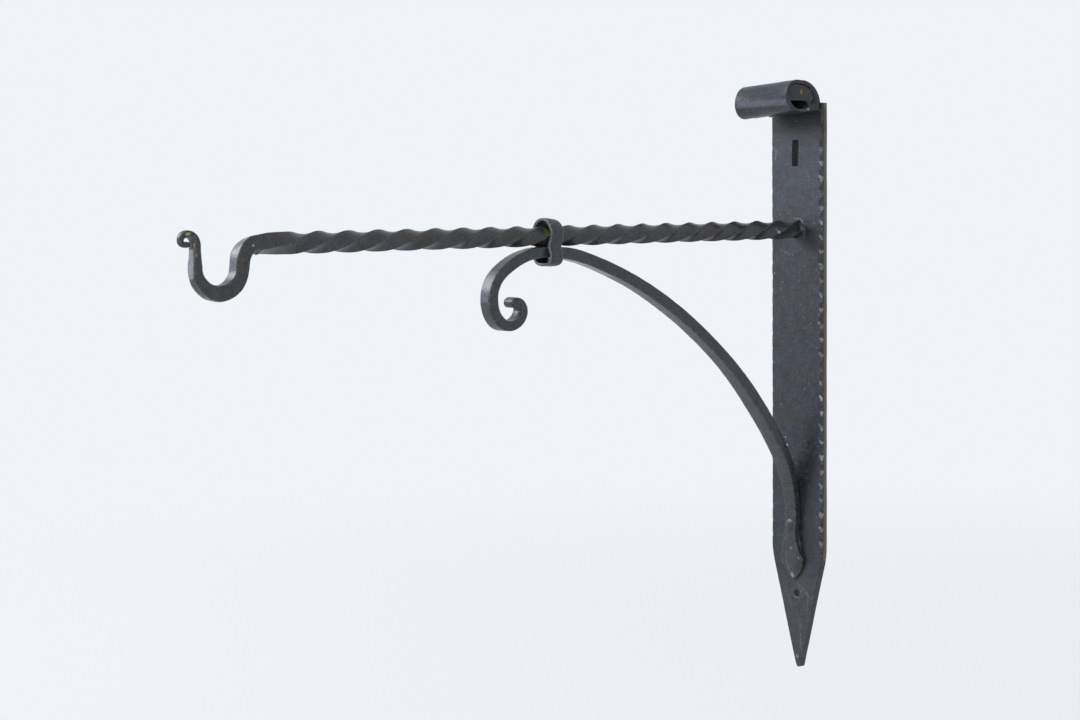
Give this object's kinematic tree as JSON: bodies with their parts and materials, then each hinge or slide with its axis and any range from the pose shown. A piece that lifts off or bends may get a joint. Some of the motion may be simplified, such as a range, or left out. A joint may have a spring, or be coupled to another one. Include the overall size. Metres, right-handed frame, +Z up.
{
  "type": "sign hook",
  "caption": "Forged iron wall bracket: a tall plate with a rolled top carries a twisted arm that ends in an open hook, propped by a scrolled brace under a wrapped collar",
  "frame": {"origin": "on the wall plane, behind the middle of the arm's root", "axes": "-Y runs out from the wall along the arm, +Y into the wall, +Z up, +X to the right for someone who faces the wall"},
  "size_m": [0.0652, 0.6158, 0.5104],
  "materials": {
    "plate_iron": "blackened forge scale, mottled, scratched round the lower hole",
    "arm_iron": "blackened forge scale, worn brighter on the hook, with ochre specks",
    "brace_iron": "blackened forge scale, worn brighter on the scroll",
    "collar_iron": "blackened forge scale with bright worn rims",
    "rivet_iron": "blackened, worn on the dome"
  },
  "bodies": {
    "root": {"wall_plate": "plate_iron", "arm": "arm_iron", "brace": "brace_iron", "collar": "collar_iron", "foot_rivet": "rivet_iron"}
  },
  "joints": []
}
